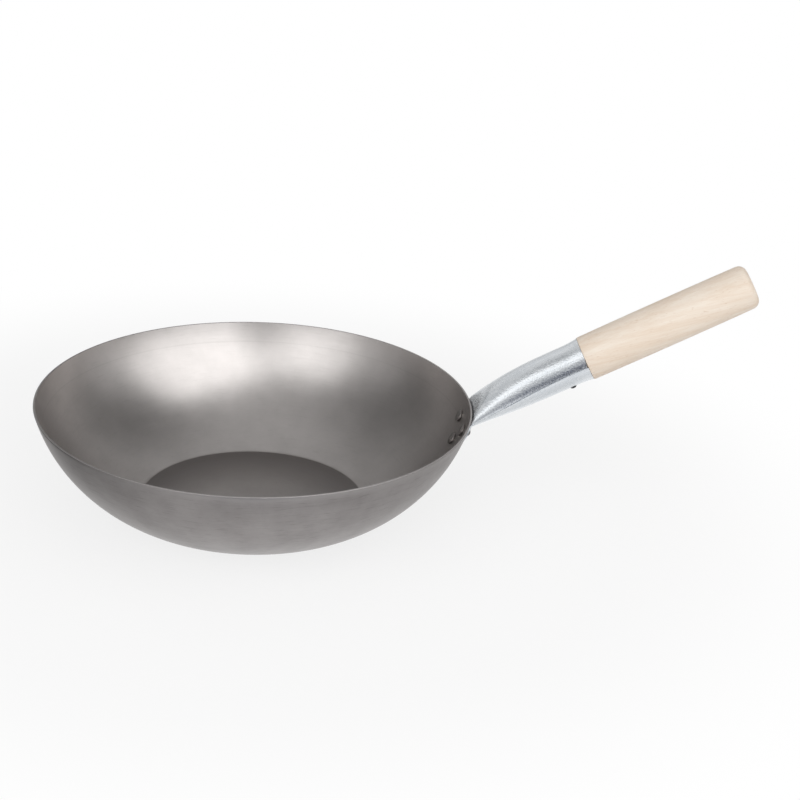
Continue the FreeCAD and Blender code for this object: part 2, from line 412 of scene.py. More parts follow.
@dataclass(frozen=True)
class BareSteel(Metal):
    """Cold-rolled carbon steel, pressed and left bare under a thin film of oil.

    The eye gets a warm grey metal with broad soft highlights, faint rings from the press, cloudy stains and
    fine scuffs. Inside, painted shade darkens the base, standing in for the dark reflections that the flat
    base shows; outside, a painted highlight lightens the rim on the handle's side. Rings and scuffs are finer
    than a pixel on the real sheet, so they are drawn coarser.
    """

    ring_spacing: float = 2.2 * MM
    ring_turns: float = 3.0
    ring_depth: float = 0.004 * MM
    ring_sheen: float = 0.12
    cloud_size: float = 34 * MM
    cloud_roughness: float = 0.62
    cloud_span: tuple[float, float] = (0.34, 0.66)
    cloud_share: float = 0.5
    grit_size: float = 1.1 * MM
    grit_sheen: float = 0.06
    grit_relief: float = 0.4
    line_height: float = 74 * MM
    line_width: float = 0.5 * MM
    line_share: float = 0.0
    # Painted shade: the base inside darkens towards its edge, standing in for the dark reflections there
    disc: str = "7D7978"
    disc_radius: float = 0.0
    disc_edge: float = 1.5 * MM
    disc_span: tuple[float, float] = (0.35, 0.9)
    disc_shares: tuple[float, float] = (0.4, 0.9)
    # Painted highlight: a lighter band at the rim, stronger on the handle's side
    rim_highlight: str = "B1ADAC"
    rim_highlight_heights: tuple[float, float] = (80 * MM, 90 * MM)
    rim_highlight_sides: tuple[float, float] = (-0.75, 0.05)
    rim_highlight_share: float = 0.0
    scuff_height: float = 1.4 * MM
    scuff_turns: float = 11.0
    scuff_span: tuple[float, float] = (0.58, 0.72)
    scuff_share: float = 0.25

    def material(self) -> bpy.types.Material:
        """Makes the material.

        Returns:
            A metal whose rings follow the bowl's turn about Z.
        """
        material, graph, where = self.start()
        x, y, z = graph.axes(where)
        flat = graph.add("CombineXYZ", inputs={0: x, 1: y}).outputs[0]
        radius = graph.vector("LENGTH", flat)
        around = graph.vector("NORMALIZE", flat)
        rise = graph.math("DIVIDE", graph.math("ADD", radius, z), self.ring_spacing)
        lift = graph.add("CombineXYZ", inputs={2: rise}).outputs[0]
        ring_at = graph.vector("MULTIPLY_ADD", around, (self.ring_turns, self.ring_turns, 0.0), lift)
        rings = graph.noise(ring_at, detail=3.0)
        turns, thin = self.scuff_turns / self.ring_turns, self.ring_spacing / self.scuff_height
        scuffs = graph.noise(graph.vector("MULTIPLY", ring_at, (turns, turns, thin)), detail=2.0)
        clouds = graph.noise(where, self.cloud_size, detail=5.0, Roughness=self.cloud_roughness)
        grit = graph.noise(where, self.grit_size, detail=2.0)
        half = self.cloud_share / 2
        tone = graph.ramp(clouds, self.cloud_span, (0.5 - half, 0.5 + half))
        on_line = graph.math("COMPARE", z, self.line_height, self.line_width)
        lined = graph.math("MULTIPLY_ADD", on_line, -self.line_share, tone)
        scuffed = graph.ramp(scuffs, self.scuff_span, (0.0, -self.scuff_share))
        marked = graph.add("Math", {"use_clamp": True}, {0: lined, 1: scuffed}).outputs[0]
        wall = graph.blend(marked, self.dark, self.light)
        # Painted shade: darkens the base inside, most near its edge, for the dark reflections that it shows
        on_disc = graph.ramp(radius, (self.disc_radius, self.disc_radius - self.disc_edge), kind="SMOOTHSTEP")
        deep = graph.ramp(radius, [share * self.disc_radius for share in self.disc_span], self.disc_shares)
        stained_and_shaded = graph.blend(graph.math("MULTIPLY", on_disc, deep), wall, self.disc)
        # Painted highlight: a lighter rim band on the handle's side, for the light that the rounded rim
        # reflects
        highlight_band = graph.math("POWER", graph.ramp(z, self.rim_highlight_heights), 2.0)
        highlight_side = graph.ramp(graph.axes(around)[0], self.rim_highlight_sides, (0.0, self.rim_highlight_share))
        colour = graph.blend(graph.math("MULTIPLY", highlight_band, highlight_side), stained_and_shaded, self.rim_highlight)
        worn = graph.about(rings, self.ring_sheen, self.roughness)
        rough = graph.math("MULTIPLY_ADD", grit, self.grit_sheen, worn)
        relief = graph.math("MULTIPLY_ADD", grit, self.grit_relief, rings)
        graph.surface(colour, rough, relief, self.ring_depth, {"Metallic": 1.0})
        return material


@dataclass(frozen=True)
class ZincPlate(Metal):
    """Steel sheet, bright zinc-plated and then rolled and pressed.

    The eye gets a cool bluish mirror that is broken up by a fine crystal grain and by drawing marks along
    the tube. The grain is finer than a pixel on the real sheet, so it is drawn coarser.
    """

    turn: float
    grain_size: float = 1.4 * MM
    grain_depth: float = 0.2 * MM
    crystal_share: float = 0.4
    crystal_sheen: float = 0.1
    tone_span: tuple[float, float] = (0.4, 1.0)
    streak_width: float = 2.5 * MM
    streak_length: float = 60 * MM
    streak_relief: float = 0.5

    def material(self) -> bpy.types.Material:
        """Makes the material.

        Returns:
            A metal with a crystal grain and streaks along the handle axis.
        """
        material, graph, where = self.start()
        along = graph.along(where, self.turn, self.streak_length, self.streak_width)
        streaks = graph.noise(along, detail=3.0)
        crystals = graph.add("TexVoronoi", inputs={"Vector": where, "Scale": 1 / self.grain_size})
        shade = graph.add("RGBToBW", inputs={0: crystals.outputs["Color"]}).outputs[0]
        grain = graph.noise(where, self.grain_size, detail=1.5)
        tone = graph.math("MULTIPLY_ADD", shade, self.crystal_share, streaks)
        colour = graph.blend(graph.ramp(tone, self.tone_span), self.dark, self.light)
        rough = graph.about(shade, self.crystal_sheen, self.roughness)
        relief = graph.math("MULTIPLY_ADD", streaks, self.streak_relief, grain)
        graph.surface(colour, rough, relief, self.grain_depth, {"Metallic": 1.0})
        return material


@dataclass(frozen=True)
class FormedSteel(Metal):
    """Small steel fastener, headed cold, with a dark tone: black oxide on the screw, painted shade on the
    rivets.

    The eye gets a dull dark metal with uneven sheen and tiny dents from the tool.
    """

    metallic: float = 1.0
    tone_span: tuple[float, float] = (0.3, 0.7)
    dent_size: float = 1.3 * MM
    dent_depth: float = 0.03 * MM
    dent_strength: float = 0.6
    dent_sheen: float = 0.2

    def material(self) -> bpy.types.Material:
        """Makes the material.

        Returns:
            A metal with uneven tone and small dents.
        """
        material, graph, where = self.start()
        dents = graph.noise(where, self.dent_size, detail=3.0)
        colour = graph.blend(graph.ramp(dents, self.tone_span), self.dark, self.light)
        rough = graph.about(dents, self.dent_sheen, self.roughness)
        graph.surface(colour, rough, dents, self.dent_depth, {"Metallic": self.metallic}, self.dent_strength)
        return material


@dataclass(frozen=True)
class TurnedWood(Finish):
    """Pale close-grained hardwood, turned and sanded and left without varnish.

    The eye gets a dry cream surface with soft year bands, fine fibres a little off the handle's axis,
    short darker pores and closer marks on the sawn end.
    """

    early: str
    late: str
    pore: str
    roughness: float
    turn: float
    slope: float = math.radians(11)
    stretch: float = 22.0
    band_width: float = 5.5 * MM
    band_waver: float = 0.4
    fibre_width: float = 0.9 * MM
    fibre_share: float = 0.55
    fibre_sheen: float = 0.12
    fibre_depth: float = 0.03 * MM
    fibre_strength: float = 0.5
    year_span: tuple[float, float] = (0.55, 1.05)
    pore_width: float = 0.55 * MM
    pore_length: float = 5 * MM
    pore_span: tuple[float, float] = (0.66, 0.78)
    pore_share: float = 0.55
    ior: float = 1.45
    specular: float = 0.3

    def material(self) -> bpy.types.Material:
        """Makes the material.

        Returns:
            A dull wood whose grain runs at a slope to the handle axis.
        """
        material, graph, where = self.start()

        def grain(width: float, length: float, **more: float) -> Socket:
            """Noise drawn out along the grain."""
            return graph.noise(graph.along(where, self.turn + self.slope, length, width), **more)

        bands = grain(self.band_width, self.band_width * self.stretch, detail=3.0, Distortion=self.band_waver)
        fibres = grain(self.fibre_width, self.fibre_width * self.stretch, detail=2.0)
        pores = grain(self.pore_width, self.pore_length, detail=1.0)
        mixed = graph.math("MULTIPLY_ADD", fibres, self.fibre_share, bands)
        body = graph.blend(graph.ramp(mixed, self.year_span), self.early, self.late)
        open_pore = graph.ramp(pores, self.pore_span, (0.0, self.pore_share))
        colour = graph.blend(open_pore, body, self.pore)
        rough = graph.about(fibres, self.fibre_sheen, self.roughness)
        relief = graph.math("SUBTRACT", fibres, open_pore)
        sheen = {"IOR": self.ior, "Specular IOR Level": self.specular}
        graph.surface(colour, rough, relief, self.fibre_depth, sheen, self.fibre_strength)
        return material


# Pieces

@dataclass
class Bowl:
    """Pressed bowl: a flat base, a tight bend and a bellied wall of one sheet, with a rounded cut rim."""

    rim_radius: float = 178 * MM
    height: float = 90 * MM
    base_radius: float = 94 * MM
    bulge: float = 15 * MM
    bend: float = 12 * MM
    sheet: float = 1.5 * MM
    outer_round: float = 0.3 * MM
    inner_round: float = 0.15 * MM
    steps: int = 240
    wall_parts: int = 44
    base_rings: int = 7
    bend_parts: int = 5
    rim_parts: tuple[int, int] = (4, 3)
    crease: float = 50
    # Painted shade darkens the inside's base; a painted highlight lightens the outside's rim on the handle's
    # side
    inside: BareSteel = BareSteel("bare_carbon_steel_pressed_inside", "A9A5A3", "BBB7B5", 0.30,
                                  line_share=0.25, disc_radius=93.5 * MM)
    outside: BareSteel = BareSteel("bare_carbon_steel_pressed_outside", "8A8685", "A6A2A1", 0.44,
                                   scuff_share=0.4, rim_highlight_share=1.0)
    arc_radius: float = field(init=False)
    arc_x: float = field(init=False)
    arc_z: float = field(init=False)

    def __post_init__(self) -> None:
        """Works out the arc of the wall's outer face from chord and bulge."""
        run = self.rim_radius - self.base_radius
        chord = math.hypot(run, self.height)
        self.arc_radius = (chord ** 2 / 4 + self.bulge ** 2) / (2 * self.bulge)
        inwards = self.arc_radius - self.bulge
        self.arc_x = (self.rim_radius + self.base_radius) / 2 - inwards * self.height / chord
        self.arc_z = self.height / 2 + inwards * run / chord

    def wall_angle(self, depth: float) -> float:
        """Angle of the wall's outward normal above the horizontal, that far below the rim."""
        return math.asin((self.height - depth - self.arc_z) / self.arc_radius)

    def wall_radius(self, z: float, outwards: float) -> float:
        """Distance from the axis of the wall's outer face, moved along its normal, at a height."""
        return self.arc_x + math.sqrt((self.arc_radius + outwards) ** 2 - (z - self.arc_z) ** 2)

    def face(self, inwards: float, rim_drop: float) -> Points:
        """Half section of one face of the sheet.

        Args:
            inwards: distance of the face from the outside.
            rim_drop: how far below the rim the face ends.

        Returns:
            Points from the centre of the base to the rim.
        """
        low = self.bend - self.arc_z
        run = math.sqrt((self.arc_radius - self.bend) ** 2 - low ** 2)
        bend_x = self.arc_x + run
        bend_end = math.atan2(low, run)
        points = [(bend_x * i / self.base_rings, inwards) for i in range(self.base_rings)]
        bend = (bend_x, self.bend)
        points += arc_points(bend, self.bend - inwards, -math.pi / 2, bend_end, self.bend_parts)
        radius = self.arc_radius - inwards
        rim_end = math.asin((self.height - rim_drop - self.arc_z) / radius)
        points += arc_points((self.arc_x, self.arc_z), radius, bend_end, rim_end, self.wall_parts)[1:]
        return points

    def profile(self) -> Points:
        """Half section of the whole sheet.

        Returns:
            Points from the centre of the underside, round the rim, to the centre of the inside.
        """
        out, into = self.outer_round, self.inner_round
        outer, inner = self.face(0.0, out), self.face(self.sheet, into)
        (r0, z0), (r1, z1) = outer[-1], inner[-1]
        rim = arc_points((r0 - out, z0), out, 0.0, math.pi / 2, self.rim_parts[0])[1:]
        rim += arc_points((r1 + into, z1), into, math.pi / 2, math.pi, self.rim_parts[1])[:-1]
        return outer + rim + inner[::-1]

    def build(self) -> None:
        """Spins the sheet, tells its two sides apart and dresses them."""
        piece = spun("wok_bowl", self.profile(), self.steps)
        smooth(piece, self.crease)
        for polygon in piece.data.polygons:
            x, y, z = polygon.center
            middle = self.wall_radius(max(z, self.bend), -self.sheet / 2)
            if z < self.bend:
                outer_side = polygon.normal.z < 0
            else:
                outer_side = math.hypot(x, y) > middle or z > self.height - self.inner_round
            polygon.material_index = int(outer_side)
        hand_over(piece, "bowl", Slot.BOWL, self.inside.material(), self.outside.material())


@dataclass
class Handle:
    """The straight axis that socket, grip and screw share."""

    start: Vector = field(default_factory=lambda: Vector((178 * MM, 0, 87.2 * MM)))
    rise: float = HANDLE_RISE

    @property
    def axis(self) -> Vector:
        """Direction from the bowl to the end of the grip."""
        return Vector((math.cos(self.rise), 0, math.sin(self.rise)))

    @property
    def up(self) -> Vector:
        """Direction across the axis, upwards."""
        return Vector((-math.sin(self.rise), 0, math.cos(self.rise)))

    def spindle(self, distance: float) -> Matrix:
        """Place that turns a piece modelled up Z along the axis, that far from the rim."""
        turn = Matrix.Rotation(math.pi / 2 - self.rise, 4, "Y")
        return Matrix.Translation(self.start + self.axis * distance) @ turn


@dataclass
class HandleSocket:
    """One rolled sheet: round at the grip, pressed flat at the bowl and folded down along its wall."""

    bowl: Bowl
    handle: Handle
    sheet: float = 1.2 * MM
    length: float = 102 * MM
    radius: float = 17 * MM
    mouth_radius: float = 18.1 * MM
    flare_length: float = 14 * MM
    round_length: float = 22 * MM
    flat_inside: float = 12 * MM
    flat_half_width: float = 26 * MM
    flat_half_height: float = 3.3 * MM
    flat_drop: float = 2.9 * MM
    flattening: float = 2.7
    seat_gap: float = 0.05 * MM
    seam_start: float = 12 * MM
    seam_gap: float = 0.3 * MM
    seam_dip: float = 0.17
    dip_at: float = 18 * MM
    dip_length: float = 42 * MM
    ridge_share: float = 0.05
    ridge_angle: float = 0.25
    notch: float = 0.9 * MM
    notch_angle: float = 0.25
    fold_lean: float = math.radians(32)
    fold_radius: float = 2.6 * MM
    rivet_half_spacing: float = 14.75 * MM
    rivet_upper: float = 16 * MM
    rivet_lower: float = 30.5 * MM
    rivet_margin: float = 10 * MM
    girth_parts: int = 200
    tube_parts: int = 76
    fold_parts: int = 10
    end_parts: int = 10
    flange_parts: int = 120
    flange_rings: int = 8
    tube_round: float = 0.2 * MM
    flange_round: float = 0.35 * MM
    weld: float = MM / 100
    halvings: int = 40
    outline_steps: int = 24
    crease: float = 40
    finish: ZincPlate = ZincPlate("steel_sheet_bright_zinc_plated", "CFD4D9", "EAEDF0", 0.29, -HANDLE_RISE)

    @property
    def rivet_heights(self) -> tuple[float, float, float]:
        """Heights of the upper rivets, of the lower one and of the middle of all three."""
        top, low = self.bowl.height - self.rivet_upper, self.bowl.height - self.rivet_lower
        return top, low, (2 * top + low) / 3

    def seat_radius(self, z: float, outwards: float) -> float:
        """Distance from the bowl's axis of the seat: the wall, straight on to the rim, then leaning out.

        Args:
            z: height.
            outwards: distance from the wall.

        Returns:
            Distance from the bowl's axis.
        """
        angle = self.bowl.wall_angle(self.rivet_upper)
        reach = self.bowl.arc_radius + outwards
        x = self.bowl.arc_x + reach * math.cos(angle)
        top = self.bowl.arc_z + reach * math.sin(angle)
        if z <= top:
            return self.bowl.wall_radius(z, outwards)
        run = self.rivet_upper / math.cos(angle) - outwards * math.tan((angle + self.fold_lean) / 2)
        fold = top + run * math.cos(angle)
        return x - (min(z, fold) - top) * math.tan(angle) + max(z - fold, 0.0) * math.tan(self.fold_lean)

    def on_seat(self, y: float, z: float, outwards: float) -> Vector:
        """Point of the seat at a place across and a height."""
        return Vector((math.sqrt(self.seat_radius(z, outwards) ** 2 - y * y), y, z))

    def tube_point(self, distance: float, turn: float) -> Vector:
        """Point on the outside of the tube.

        Args:
            distance: from the rim along the handle axis.
            turn: angle round the tube from its seam, under the tube first.

        Returns:
            The point.
        """
        taper = self.length - self.round_length + self.flat_inside
        share = min(max((distance + self.flat_inside) / taper, 0.0), 1.0)
        flatness = (1 - share) ** self.flattening
        flare = max(0.0, 1 - (self.length - distance) / self.flare_length)
        radius = self.radius + (self.mouth_radius - self.radius) * flare ** 2
        half_width = radius + (self.flat_half_width - radius) * flatness
        half_height = radius + (self.flat_half_height - radius) * flatness
        dip = math.exp(-((distance - self.dip_at) / self.dip_length) ** 2)
        ridge = 1 + self.ridge_share * share * math.exp(-turn / self.ridge_angle)
        angle = turn + self.seam_dip * dip
        across = -half_width * math.cos(angle) * ridge
        above = -half_height * math.sin(angle) * ridge - self.flat_drop * flatness
        on_axis = self.handle.start + self.handle.axis * distance
        return on_axis + self.handle.up * above + Vector((0, across, 0))

    def fold_distance(self, turn: float) -> float:
        """Distance along the axis at which the tube meets the seat.

        Args:
            turn: angle round the tube.

        Returns:
            The distance, negative inside the rim's radius.
        """
        low, high = -self.flat_inside, self.length / 2
        for _ in range(self.halvings):
            middle = (low + high) / 2
            p = self.tube_point(middle, turn)
            if math.hypot(p.x, p.y) < self.seat_radius(p.z, self.seat_gap):
                low = middle
            else:
                high = middle
        return high

    def sheet_point(self, around: float, row: int, ends: dict[float, float]) -> Vector:
        """Place of one point of the blank on the finished socket.

        Args:
            around: share of the girth, from the seam and back to it.
            row: row of the blank, from the middle of the folded end to the mouth.
            ends: distances at which the tube meets the seat, kept from row to row.

        Returns:
            The point on the outside of the sheet.
        """
        turn = math.tau * around
        if around not in ends:
            ends[around] = self.fold_distance(turn)
        fold = ends[around]
        corner = self.tube_point(fold, turn)
        middle = self.handle.start.z
        r = self.fold_radius * (1 + max(0.0, -math.sin(turn)))

        def on_end(share: float) -> Vector:
            """Point of the folded end, from its middle to the fold."""
            return self.on_seat(corner.y * share, middle + (corner.z - middle) * share, self.seat_gap)

        size = math.hypot(corner.y, corner.z - middle)
        inner_share = max(1 - r / size, 0.0)
        if row <= self.end_parts:
            return on_end(inner_share * row / self.end_parts)
        if row <= self.end_parts + self.fold_parts:
            t = (row - self.end_parts) / self.fold_parts
            a, b = on_end(inner_share), self.tube_point(fold + r, turn)
            return a * (1 - t) ** 2 + corner * (2 * t * (1 - t)) + b * t ** 2
        t = (row - self.end_parts - self.fold_parts) / self.tube_parts
        notch = self.notch * math.exp(-((math.tau - turn) / self.notch_angle) ** 2)
        mouth = self.length - self.seat_gap - notch
        distance = fold + r + (mouth - fold - r) * t
        opened = min(max((distance - self.seam_start) / self.seam_start, 0.0), 1.0)
        half = self.seam_gap / 2 / self.radius * opened
        return self.tube_point(distance, half + (math.tau - 2 * half) * around)

    def make_tube(self) -> Piece:
        """Rolls a flat blank into the tube with its folded end and gives the sheet its thickness.

        Returns:
            The closed sheet.
        """
        rows = self.end_parts + self.fold_parts + self.tube_parts
        bpy.ops.mesh.primitive_grid_add(
            x_subdivisions=self.girth_parts, y_subdivisions=rows, size=1.0, location=(0.5, 0.5, 0.0))
        piece = take_up("wok_handle_socket")
        ends: dict[float, float] = {}

        def form(p: Vector) -> Vector:
            """Rolls and folds a point of the blank."""
            around = round(p.x * self.girth_parts) / self.girth_parts
            return self.sheet_point(around, round(p.y * rows), ends)

        press(piece, form, self.weld)
        highest = max(piece.data.polygons, key=lambda polygon: polygon.center.z)
        if highest.normal.dot(self.handle.up) < 0:
            piece.data.flip_normals()
        thicken(piece, self.sheet, self.tube_round, parts=2, even=False)
        return piece

    def flange_edge(self, share: float) -> tuple[float, float]:
        """Place on the flange's outline: a triangle round the rivets with round corners.

        Args:
            share: share of the way round.

        Returns:
            Place across and height.
        """
        top, low, centre = self.rivet_heights
        half = self.rivet_half_spacing
        corners = [Vector((half, top)), Vector((-half, top)), Vector((0, low))]
        middle = Vector((0, centre))
        angle = math.tau * share
        away = Vector((math.cos(angle), math.sin(angle)))
        hit = max(corner.dot(away) - middle.dot(away) for corner in corners) + self.rivet_margin
        for _ in range(self.outline_steps):
            p = middle + away * hit
            hit -= self.edge_distance(p, corners) - self.rivet_margin
        p = middle + away * hit
        return p.x, p.y

    @staticmethod
    def edge_distance(p: Vector, corners: list[Vector]) -> float:
        """Distance of a point outside a triangle from the triangle.

        Args:
            p: the point.
            corners: the triangle's corners.

        Returns:
            Distance to the nearest side.
        """
        best = math.inf
        for a, b in zip(corners, corners[1:] + corners[:1]):
            side = b - a
            t = min(max((p - a).dot(side) / side.length_squared, 0.0), 1.0)
            best = min(best, (p - a - side * t).length)
        return best

    def make_flange(self) -> Piece:
        """Makes the flat end, two sheets thick, and presses it to the wall.

        Returns:
            The closed plate.
        """
        bpy.ops.mesh.primitive_circle_add(vertices=self.flange_parts, radius=1.0, fill_type="NOTHING")
        piece = take_up("wok_socket_flange")
        bpy.ops.mesh.select_all(action="SELECT")
        for i in range(1, self.flange_rings):
            bpy.ops.mesh.extrude_region_move(TRANSFORM_OT_translate={"value": (0, 0, 0)})
            shrink = 1 - 1 / (self.flange_rings + 1 - i)
            bpy.ops.transform.resize(value=(shrink, shrink, 1))
        bpy.ops.mesh.extrude_region_move(TRANSFORM_OT_translate={"value": (0, 0, 0)})
        bpy.ops.mesh.merge(type="CENTER")
        centre = self.rivet_heights[2]
        out = self.seat_gap + 2 * self.sheet

        def form(p: Vector) -> Vector:
            """Stretches the disc to the outline and lays it on the wall.

            Args:
                p: point of the flat disc.

            Returns:
                Its place on the wall.
            """
            y, z = self.flange_edge(math.atan2(p.y, p.x) / math.tau % 1.0)
            share = math.hypot(p.x, p.y)
            return self.on_seat(y * share, centre + (z - centre) * share, out)

        press(piece, form, MERGE_DISTANCE)
        if piece.data.polygons[0].normal.x < 0:
            piece.data.flip_normals()
        thicken(piece, 2 * self.sheet - self.seat_gap, self.flange_round, parts=3, even=True)
        return piece

    def build(self) -> None:
        """Joins tube and flange and dresses them."""
        tube = self.make_tube()
        flange = self.make_flange()
        select_only(tube)
        flange.select_set(True)
        bpy.ops.object.join()
        smooth(tube, self.crease)
        hand_over(tube, "handle_socket", Slot.SOCKET, self.finish.material())


@dataclass
class Rivets:
    """Three rivets, two near the rim and one below them: low heads inside the bowl, domed tails outside."""

    bowl: Bowl
    socket: HandleSocket
    head_radius: float = 5.3 * MM
    head_height: float = 2.6 * MM
    head_edge: float = 1.7 * MM
    edge_round: float = 0.5 * MM
    undercut: float = 0.5 * MM
    tail_radius: float = 3.8 * MM
    tail_height: float = 2.6 * MM
    shank_radius: float = 2.5 * MM
    steps: int = 56
    dome_parts: int = 12
    edge_parts: int = 5
    crease: float = 40
    # Painted shade: the rivets' tone is darker than the bowl's steel, for the dark wall round them
    finish: FormedSteel = FormedSteel("carbon_steel_cold_headed", "7A7674", "8C8886", 0.38)

    def model(self) -> Piece:
        """Models one rivet up Z, with the wall's outer face at zero.

        Returns:
            The closed rivet.
        """
        hollow = self.head_radius ** 2 / (2 * (self.bowl.arc_radius - self.bowl.sheet))
        inner = -self.bowl.sheet - hollow - self.socket.seat_gap
        outer = 2 * self.socket.sheet + 2 * self.socket.seat_gap
        edge = inner - self.head_edge
        turned = self.edge_round
        flat = self.head_radius - turned
        head = dome_points(flat, edge, self.head_edge - self.head_height, self.dome_parts)[::-1]
        head += arc_points((flat, edge + turned), turned, -math.pi / 2, 0.0, self.edge_parts)[1:]
        head += [(self.head_radius - self.undercut, inner)]
        tail = dome_points(self.tail_radius, outer, self.tail_height, self.dome_parts)
        shank = [(self.shank_radius, inner), (self.shank_radius, outer)]
        return spun("wok_rivet", head + shank + tail, self.steps)

    def build(self) -> None:
        """Copies the rivet to its three places and dresses each copy."""
        pattern = self.model()
        smooth(pattern, self.crease)
        material = self.finish.material()
        upper, lower = self.socket.rivet_upper, self.socket.rivet_lower
        reach = self.bowl.wall_radius(self.bowl.height - upper, 0.0)
        side = math.asin(self.socket.rivet_half_spacing / reach)
        left, right = ("rivet_upper_left", upper, side), ("rivet_upper_right", upper, -side)
        for node, depth, azimuth in (left, right, ("rivet_lower", lower, 0.0)):
            piece = pattern.copy()
            piece.data = pattern.data.copy()
            piece.name = piece.data.name = "wok_" + node
            bpy.context.collection.objects.link(piece)
            normal = self.bowl.wall_angle(depth)
            height = self.bowl.height - depth
            foot = Vector((self.bowl.wall_radius(height, 0.0), 0, height))
            turn = Matrix.Rotation(azimuth, 4, "Z")
            tilt = Matrix.Rotation(math.pi / 2 - normal, 4, "Y")
            place(piece, turn @ Matrix.Translation(foot) @ tilt)
            hand_over(piece, node, Slot.RIVET, material)
        bpy.data.objects.remove(pattern)


@dataclass
class WoodenGrip:
    """Turned grip: a tenon in the socket, a shoulder at its mouth, a slight swell and a rounded end."""

    handle: Handle
    socket: HandleSocket
    length: float = 146.95 * MM
    radius: float = 18.5 * MM
    swell: float = 0.3 * MM
    end_round: float = 7 * MM
    shoulder_round: float = 0.8 * MM
    tenon_length: float = 58 * MM
    tenon_straight: float = 22 * MM
    tenon_taper: float = 2.6 * MM
    clearance: float = 0.15 * MM
    steps: int = 128
    shoulder_angles: tuple[float, ...] = (0.5, 1.0, math.pi / 2)
    swell_parts: int = 24
    end_parts: int = 14
    face_rings: int = 4
    crease: float = 40
    finish: TurnedWood = TurnedWood("pale_hardwood_turned_and_sanded", "F4E8DA", "E9D6C2", "CBAA8A", 0.62,
                                    -HANDLE_RISE)

    def build(self) -> None:
        """Spins the half section, lays it along the handle axis and dresses it."""
        tenon = self.socket.radius - self.socket.sheet - self.clearance
        end = self.length
        points = [(0.0, -self.tenon_length), (tenon - self.tenon_taper, -self.tenon_length),
                  (tenon, -self.tenon_straight), (tenon, 0.0)]
        s = self.shoulder_round
        points += [(self.radius - s, 0.0)]
        points += [(self.radius - s + s * math.sin(a), s - s * math.cos(a)) for a in self.shoulder_angles]
        straight = end - self.end_round
        for i in range(1, self.swell_parts + 1):
            t = i / self.swell_parts
            points.append((self.radius + self.swell * 4 * t * (1 - t), s + (straight - s) * t))
        face = self.radius - self.end_round
        points += arc_points((face, straight), self.end_round, 0.0, math.pi / 2, self.end_parts)[1:]
        points += [(face * (1 - i / self.face_rings), end) for i in range(1, self.face_rings + 1)]
        piece = spun("wok_wooden_grip", points, self.steps)
        place(piece, self.handle.spindle(self.socket.length + self.socket.seat_gap))
        smooth(piece, self.crease)
        hand_over(piece, "wooden_grip", Slot.GRIP, self.finish.material())


@dataclass
class GripScrew:
    """Low domed wood screw, slotted, under the socket."""

    handle: Handle
    socket: HandleSocket
    from_mouth: float = 18 * MM
    turn: float = math.radians(22)
    length: float = 14 * MM
    shank_radius: float = 1.5 * MM
    point_length: float = 4 * MM
    head_radius: float = 2.8 * MM
    head_height: float = 1.3 * MM
    slot_width: float = 0.8 * MM
    slot_depth: float = 0.7 * MM
    slot_turn: float = 0.6
    steps: int = 48
    dome_parts: int = 10
    crease: float = 35
    finish: FormedSteel = FormedSteel("steel_black_oxide", "1C1C1E", "2B2B2D", 0.6, metallic=0.0)

    def build(self) -> None:
        """Spins the screw, cuts its slot, sets it under the socket and dresses it."""
        head = dome_points(self.head_radius, 0.0, -self.head_height, self.dome_parts)[::-1]
        r = self.shank_radius
        shank = [(r, 0.0), (r, self.length - self.point_length), (0.0, self.length)]
        piece = spun("wok_grip_screw", head + shank, self.steps)
        bpy.ops.mesh.primitive_cube_add(size=1.0, location=(0, 0, -self.head_height))
        cutter = bpy.context.object
        cutter.scale = (4 * self.head_radius, self.slot_width, 2 * self.slot_depth)
        bpy.ops.object.transform_apply(location=True, rotation=True, scale=True)
        apply_modifier(piece, "BOOLEAN", operation="DIFFERENCE", object=cutter, solver="EXACT")
        bpy.data.objects.remove(cutter)
        turn = Matrix.Rotation(-self.turn, 4, self.handle.axis)
        middle = self.handle.start + self.handle.axis * (self.socket.length - self.from_mouth)
        seat = middle - (turn @ self.handle.up) * (self.socket.radius + self.socket.seat_gap)
        tilt = Matrix.Rotation(-self.handle.rise, 4, "Y")
        place(piece, Matrix.Translation(seat) @ turn @ tilt @ Matrix.Rotation(self.slot_turn, 4, "Z"))
        smooth(piece, self.crease)
        hand_over(piece, "grip_screw", Slot.SCREW, self.finish.material())


# Studio

# Pieces by how they mirror: the bright zinc, and all that is duller
ZINC = ("wok_handle_socket",)
DULL = ("wok_bowl", "wok_rivet_upper_left", "wok_rivet_upper_right", "wok_rivet_lower", "wok_wooden_grip",
        "wok_grip_screw")


